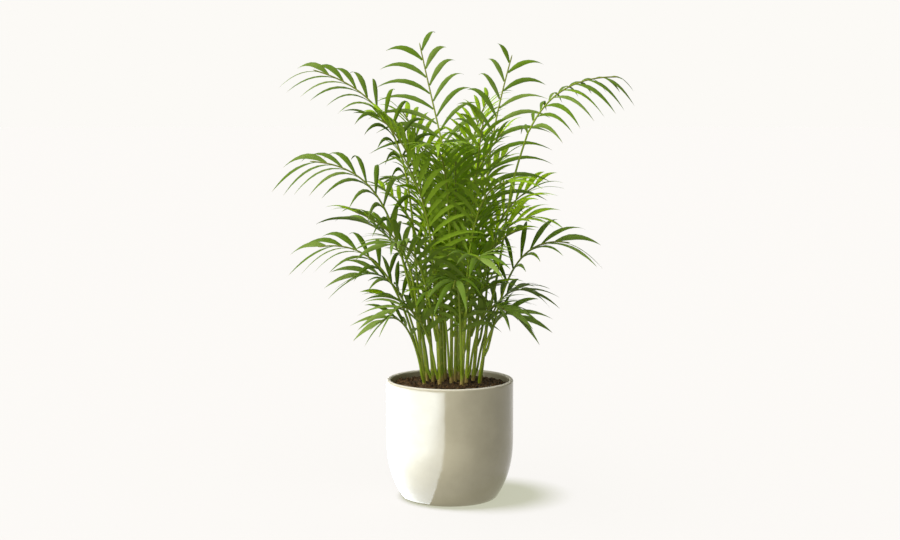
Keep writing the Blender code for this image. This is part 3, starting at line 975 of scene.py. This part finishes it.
@dataclass
class Fronds:
    """The feather leaves: a tapering stalk and midrib, with thin arched leaflets along it."""

    canes: list[CaneBones]
    stations: tuple[float, ...] = (0.0, 0.07, 0.18, 0.31, 0.45, 0.59, 0.72, 0.84, 0.93, 1.0)
    overrun: float = 1.08           # how far a blade's fine point runs on past the tip read
    middle_share: float = 0.45      # where along a leaflet its middle was read
    thickness: float = 0.00034
    thinning: float = 0.6           # share of the thickness lost towards the tip
    fold: float = 0.20              # how far a leaflet's halves fall from its middle line
    fold_range: tuple[float, float] = (0.5, 1.4)
    fold_power: float = 1.3
    neck: float = 0.22              # width at the root, as a share of the full width
    neck_start: float = -0.10       # where along a leaflet its neck would start to open
    widest: float = 0.34            # where along it it is widest
    belly: float = 0.85             # how slowly the width falls at first from there
    point_power: float = 1.10
    narrowing: tuple[float, float] = (0.78, 1.0)
    crowding: float = 0.014         # share of the width that each further leaflet costs
    uncrowded: int = 14             # leaflets of a frond that has room for their full width
    twist: float = 0.45             # radians either way, at the tip
    sway: float = 0.045             # sideways at the tip, as a share of the length
    top_station: int = 4            # the station that tells which side of a leaflet is up
    stalk_sides: int = 8
    stalk_fill: int = 3             # rings drawn for each ring read
    sheath_length: float = 0.010
    sheath_grip: tuple[tuple[float, float], ...] = ((1.0, 0.62), (0.55, 0.38))  # down, and in
    sheath_swell: tuple[float, float] = (1.1, 1.12)
    end_run: float = 0.35           # how far the midrib runs on, as a share of its last step
    end_radius: float = 0.0002
    tall: float = 0.25              # a frond that rises more than this is a tall one
    upright: float = 2.4            # a young frond rises this many times its reach or more
    leaning: float = 1.55           # a leaning one rises less than this many times its reach
    frond_tone: float = 0.12        # how far a frond's tone is off its age's, either way
    leaflet_tone: float = 0.14      # how far a leaflet's tone is off its frond's
    seed: int = 1000
    leaf: LeafFinish = LeafFinish()
    stalk: StalkFinish = StalkFinish()

    def blade_width(self, u: np.ndarray) -> np.ndarray:
        """Width of a leaflet along it.

        The neck opens by a smoothstep up to the widest place. From there the width falls as
        (1 - t)^point_power * (1 + belly * t), with t from 0 there to 1 at the tip.

        Args:
            u: Places along the leaflet, from 0 to 1.

        Returns:
            Shares of the full width.
        """
        root = self.neck + (1.0 - self.neck) * smoothstep(u, self.neck_start, self.widest)
        t = np.clip((u - self.widest) / (1.0 - self.widest), 0.0, 1.0)
        return root * (1.0 - t) ** self.point_power * (1.0 + self.belly * t)

    def leaflets(self, bones: FrondBones, tone: float, rng: np.random.Generator) -> Shape:
        """Draw every leaflet of a frond, as one array of leaflets by stations by six corners.

        A leaflet's middle line is the parabola through its root, middle and tip. At each station
        the corners lie at s half-widths across it, from -1 to 1, above by half the thickness and
        below by the same, and fall by fold times |s|^fold_power.

        Args:
            bones: Where the leaflets run.
            tone: The frond's tone.
            rng: Source of what is each leaflet's own.

        Returns:
            The blades.
        """
        count = len(bones.root)
        u = np.array(self.stations) * self.overrun
        m = self.middle_share
        basis = np.stack([(u - m) * (u - 1) / m, u * (u - 1) / (m * (m - 1)),
                          u * (u - m) / (1 - m)])
        slope = np.stack([(2 * u - 1 - m) / m, (2 * u - 1) / (m * (m - 1)),
                          (2 * u - m) / (1 - m)])
        knots = np.stack([bones.root, bones.middle, bones.tip])
        spine = np.einsum("bk,bnc->nkc", basis, knots)
        ahead = unit(np.einsum("bk,bnc->nkc", slope, knots))
        across = without(np.broadcast_to(bones.across[:, None], ahead.shape), ahead)
        normal = np.cross(ahead, across)
        flip = np.where(normal[:, self.top_station, 2] < 0.0, -1.0, 1.0)[:, None, None]
        across, normal = across * flip, normal * flip
        twist = rng.uniform(-self.twist, self.twist, size=(count, 1)) * u
        cos, sin = np.cos(twist)[..., None], np.sin(twist)[..., None]
        across, normal = across * cos + normal * sin, normal * cos - across * sin
        length = np.linalg.norm(bones.tip - bones.root, axis=1)[:, None, None]
        sway = rng.normal(0.0, self.sway, size=(count, 1)) * u ** 2
        spine = spine + across * (sway[..., None] * length)
        slim = 1.0 - self.crowding * max(0, count - self.uncrowded)
        full = bones.width * slim * rng.uniform(*self.narrowing, size=count)
        half = full[:, None] * self.blade_width(u / self.overrun) / 2

        s = np.array([-1.0, -0.5, 0.0, 0.5, 1.0, 0.0])
        above = np.array([0.0, 0.5, 0.5, 0.5, 0.0, -0.5])
        fold = self.fold * rng.uniform(*self.fold_range, size=(count, 1)) * half
        fall = -fold[..., None] * np.abs(s) ** self.fold_power
        lift = fall + above * self.thickness * (1.0 - self.thinning * u[:, None])
        points = (spine[:, :, None] + across[:, :, None] * (half[..., None] * s)[..., None]
                  + normal[:, :, None] * lift[..., None])
        return self.closed_blades(points, s, tone, rng)

    def closed_blades(self, points: np.ndarray, s: np.ndarray, tone: float,
                      rng: np.random.Generator) -> Shape:
        """Skin the leaflets' rings of corners, closed by a face at the root and a point.

        Args:
            points: Leaflets by stations by corners.
            s: Half-widths across, for each corner.
            tone: The frond's tone.
            rng: Source of each leaflet's own tone.

        Returns:
            The blades, with along, across and tone on corners, and under on faces.
        """
        count, stations, corners = points.shape[:3]
        rings = stations - 1
        each = rings * corners + 1
        body = points[:, :-1].reshape(count, -1, 3)
        tips = points[:, -1].mean(axis=1)[:, None]
        k = np.arange(corners)
        after = (k + 1) % corners
        quads = grid_quads(rings, corners)
        end = (rings - 1) * corners
        points_to = np.stack([end + k, np.full(corners, rings * corners), end + after], axis=1)
        offsets = np.arange(count) * each
        faces, under = [], []
        low = (k >= corners - 2).astype(float)
        for start in offsets.tolist():
            faces += (quads + start).tolist() + (points_to + start).tolist()
            faces.append((k + start).tolist())
            under += [*np.tile(low, rings), 0.0]
        u = np.array(self.stations)
        along = np.append(np.repeat(u[:-1], corners), 1.0)
        across = np.append(np.tile(s, rings), 0.0)
        own = tone + rng.normal(0.0, self.leaflet_tone, size=count)
        return Shape(
            np.concatenate([body, tips], axis=1).reshape(-1, 3), faces,
            np.zeros(len(faces), dtype=int),
            {"along": np.tile(along, count), "across": np.tile(across, count),
             "tone": np.repeat(own, each)},
            {"under": np.array(under)})

    def stem(self, bones: FrondBones) -> Shape:
        """Draw stalk and midrib: a tube through the rings read, from a sheath on the cane.

        Between rings the middle line is a cubic through its neighbours.

        Args:
            bones: The frond's middle line.

        Returns:
            The tube, which ends in a point.
        """
        foot = bones.midline[0]
        reached = [cane.nearest(foot) for cane in self.canes]
        index = int(np.argmin([distance for _, distance in reached]))
        cane, hold = self.canes[index], reached[index][0]
        axis = unit(cane.top - cane.foot)
        away = foot - hold
        away = away - axis * (away @ axis)
        low = [foot - axis * self.sheath_length * share - away * inward
               for share, inward in self.sheath_grip]
        end = bones.midline[-1] + (bones.midline[-1] - bones.midline[-2]) * self.end_run
        line = np.concatenate([low, bones.midline, [end]])
        half = np.concatenate([bones.half[0] * np.array(self.sheath_swell), bones.half,
                               [self.end_radius]])
        steps = np.arange(len(line))
        fine = np.linspace(0.0, len(line) - 1, (len(line) - 1) * self.stalk_fill + 1)
        path = catmull_rom(line, fine)
        radius = np.interp(fine, steps, half)
        chord = bones.midline[-1] - bones.midline[0]
        plane = unit(np.cross(chord, UP))
        return tube(path, radius, self.stalk_sides, plane, finish=1)

    def age(self, bones: FrondBones) -> Age:
        """Tell a frond's age: new ones stand upright in the middle, and old ones lean out.

        Args:
            bones: The frond's middle line.

        Returns:
            Its age.
        """
        across, along, rise = np.abs(bones.midline[-1] - bones.midline[0])
        reach = math.hypot(across, along)
        if rise > self.tall:
            return Age.TALL
        if rise > self.upright * reach:
            return Age.YOUNG
        return Age.LEANING if rise < self.leaning * reach else Age.GROWN

    def build(self) -> list[bpy.types.Object]:
        """Make every frond.

        Returns:
            The pieces.
        """
        leaf, stalk = self.leaf.material(), self.stalk.material()
        nodes = sorted(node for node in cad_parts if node.startswith("frond_"))
        pieces = []
        for number, node in enumerate(nodes):
            rng = np.random.default_rng(self.seed + number)
            bones = FrondBones.of(node)
            tone = self.age(bones).value + rng.uniform(-self.frond_tone, self.frond_tone)
            blades, stem = self.leaflets(bones, tone, rng), self.stem(bones)
            stem.values["tone"] = np.full(len(stem.points), rng.uniform(0.0, 1.0))
            shape = Shape.joined([blades, stem])
            pieces.append(shape.piece(f"{node}_leaf", [leaf, stalk], Slot.FROND, node))
        return pieces


def catmull_rom(line: np.ndarray, at: np.ndarray) -> np.ndarray:
    """Points on the smooth curve through a line's points.

    Args:
        line: The points.
        at: Where, counted in points from the first.

    Returns:
        0.5 * (2b + (c - a) t + (2a - 5b + 4c - d) t^2 + (3b - a - 3c + d) t^3), with b and c the
        points before and after, a and d the ones beyond, and t the share from b to c.
    """
    before = np.minimum(at.astype(int), len(line) - 2)
    t = (at - before)[:, None]
    a, b, c, d = (line[np.clip(before + k, 0, len(line) - 1)] for k in (-1, 0, 1, 2))
    return 0.5 * (2 * b + (c - a) * t + (2 * a - 5 * b + 4 * c - d) * t ** 2
                  + (3 * b - a - 3 * c + d) * t ** 3)


# ---------------------------------------------------------------- the studio


@dataclass(frozen=True)
class Sun:
    """A broad far light that only some things receive, and that perhaps only some block."""

    name: str
    strength: float
    softness: float                         # how wide it looks, in degrees
    toward: tuple[float, float, float]      # the way to it
    colour: Colour = (1.0, 0.985, 0.95)

    def build(self, lit: Sequence[bpy.types.Object],
              blockers: Sequence[bpy.types.Object] = ()) -> None:
        """Hang it.

        Args:
            lit: What it lights.
            blockers: What shades it, or nothing where everything does.
        """
        light = bpy.data.lights.new(self.name, "SUN")
        light.energy = self.strength
        light.angle = math.radians(self.softness)
        light.color = self.colour
        lamp = placed(self.name, light)
        lamp.rotation_euler = Vector(self.toward).to_track_quat("Z", "Y").to_euler()
        lamp.visible_glossy = False
        lamp.light_linking.receiver_collection = gathered(f"lit_by_{self.name}", lit)
        if blockers:
            lamp.light_linking.blocker_collection = gathered(f"blocks_{self.name}", blockers)


@dataclass(frozen=True)
class Card:
    """A white card that lies left of the pot and shines up, which only gloss shows."""

    strength: float = 5.6
    gain: float = 1.3                       # how much brighter it is away from its right edge
    fade: float = 0.16                      # where that is reached, as a share of its width
    size: tuple[float, float] = (1.5, 2.4)
    edge: tuple[float, float, float] = (-0.028, -0.09, 0.002)   # a point on its right edge
    turn: float = 7.1                       # degrees that this edge turns out to the front left
    colour: Colour = (0.86, 0.93, 1.0)

    def build(self, lit: Sequence[bpy.types.Object]) -> None:
        """Lay it down.

        Args:
            lit: What shows it.
        """
        light = bpy.data.lights.new("card", "AREA")
        light.shape = "RECTANGLE"
        light.size, light.size_y = self.size
        light.energy = self.strength * math.pi * light.size * light.size_y
        light.color = self.colour
        g = Graph(light, "OutputLight")
        place = g.add("NewGeometry").outputs["Parametric"]
        across = g.add("SeparateXYZ", {0: place}).outputs["X"]
        faded = g.span(across, 1.0 - self.fade, 1.0, 1.0 + self.gain, 1.0)
        g.finish(g.add("Emission", {"Strength": faded}))
        lamp = placed("card", light)
        turn = math.radians(self.turn)
        x, y, z = self.edge
        half = light.size / 2
        lamp.location = (x - half * math.cos(turn), y + half * math.sin(turn), z)
        lamp.rotation_euler = (math.pi, 0.0, -turn)
        lamp.visible_diffuse = False
        lamp.visible_transmission = False
        lamp.visible_camera = False
        lamp.light_linking.receiver_collection = gathered("lit_by_card", lit)


@dataclass
class Studio:
    """A pale floor in a pale room, under soft light from the left, and the camera."""

    paper: Colour = (0.974, 0.956, 0.922)
    floor_matt: Colour = (0.130, 0.123, 0.161)
    floor_glow: Colour = (0.504, 0.516, 0.385)
    floor_radius: float = 60.0
    floor_steps: int = 96
    fill_colour: Colour = (1.0, 0.965, 0.83)
    fill_range: tuple[float, float] = (-0.7, 0.9)   # from away from the window to towards it
    fill_low: float = 0.20
    fill_high: float = 1.0
    window: Sun = Sun("window", 4.2, 40.0, (-0.80, -0.47, 0.84))
    shade: Sun = Sun("shade", 9.5, 20.0, (-0.31, -0.03, 0.90))
    bounce: Sun = Sun("bounce", 1.05, 60.0, (0.08, -0.08, -0.99))
    card: Card = Card()
    camera_place: tuple[float, float, float] = (0.0, -1.8, 0.4509)
    camera_pitch: float = 0.10015       # radians below level
    camera_lens: float = 61.556
    camera_sensor: float = 36.0

    def floor(self) -> bpy.types.Object:
        """Lay a wide pale disc whose own faint glow keeps its shadows light.

        Returns:
            The disc.
        """
        g = Graph(bpy.data.materials.new("floor_paper"))
        matt = g.add("BsdfDiffuse", {"Color": (*self.floor_matt, 1.0)})
        glow = g.add("Emission", {"Color": (*self.floor_glow, 1.0)})
        turn = np.arange(self.floor_steps) * (2 * math.pi / self.floor_steps)
        rim = np.stack([np.cos(turn), np.sin(turn), np.zeros(self.floor_steps)], axis=1)
        mesh = bpy.data.meshes.new("floor")
        mesh.from_pydata(rim * self.floor_radius, [], [list(range(self.floor_steps))])
        mesh.materials.append(g.finish(g.add("AddShader", {0: matt.outputs[0],
                                                           1: glow.outputs[0]})))
        floor = placed("floor", mesh)
        floor.visible_diffuse = False
        return floor

    def surroundings(self) -> None:
        """Even pale air for the camera, and softer light for the plant, most from the window."""
        world = bpy.data.worlds.new("studio")
        bpy.context.scene.world = world
        g = Graph(world, "OutputWorld")
        way = g.add("TexCoord").outputs["Generated"]
        facing = g.add("VectorMath", {0: way, 1: unit(np.array(self.window.toward))},
                       operation="DOT_PRODUCT").outputs["Value"]
        fill = g.span(facing, *self.fill_range, self.fill_low, self.fill_high)
        light = g.add("Background", {"Color": (*self.fill_colour, 1.0), "Strength": fill})
        seen = g.add("Background", {"Color": (*self.paper, 1.0)})
        by_camera = g.add("LightPath").outputs["Is Camera Ray"]
        g.finish(g.add("MixShader", {0: by_camera, 1: light.outputs[0], 2: seen.outputs[0]}))

    def camera(self) -> None:
        """The camera, level across and pitched a little down."""
        data = bpy.data.cameras.new("camera")
        data.lens = self.camera_lens
        data.sensor_width = self.camera_sensor
        camera = placed("camera", data)
        camera.location = self.camera_place
        camera.rotation_euler = (math.pi / 2 - self.camera_pitch, 0.0, 0.0)
        bpy.context.scene.camera = camera

    def build(self, pot: bpy.types.Object, pieces: Sequence[bpy.types.Object]) -> None:
        """Set the stage: the window lights the plant, the shade the floor, the card the pot.

        The bounce is what a pale floor throws back up at the pot.

        Args:
            pot: The pot, the only thing that shows the card and that shades the floor.
            pieces: Every piece of the object.
        """
        bpy.context.scene.view_settings.view_transform = "Standard"
        self.surroundings()
        self.window.build(pieces)
        self.shade.build([self.floor()], [pot])
        self.bounce.build([pot], [pot])
        self.card.build([pot])
        self.camera()


def gathered(name: str, members: Sequence[bpy.types.Object]) -> bpy.types.Collection:
    """Gather objects that a light is told to light or to be blocked by.

    Args:
        name: The collection's name.
        members: The objects.

    Returns:
        The collection, which isn't in the scene itself.
    """
    collection = bpy.data.collections.new(name)
    for member in members:
        collection.objects.link(member)
    return collection


def main() -> None:
    """Build every piece around the frame, then the studio."""
    logging.basicConfig(level=logging.INFO, format="%(name)s: %(message)s")
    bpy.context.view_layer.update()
    vessel = Pot()
    soil = Soil(vessel)
    canes = {node: CaneBones.of(node) for node in sorted(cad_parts)
             if node.startswith("cane_")}
    pot = vessel.build()
    pieces = [pot, soil.build(), *Canes(canes, float(soil.top(np.array(0.0)))).build(),
              *Fronds(list(canes.values())).build()]
    Studio().build(pot, pieces)


if __name__ == "__main__":
    main()
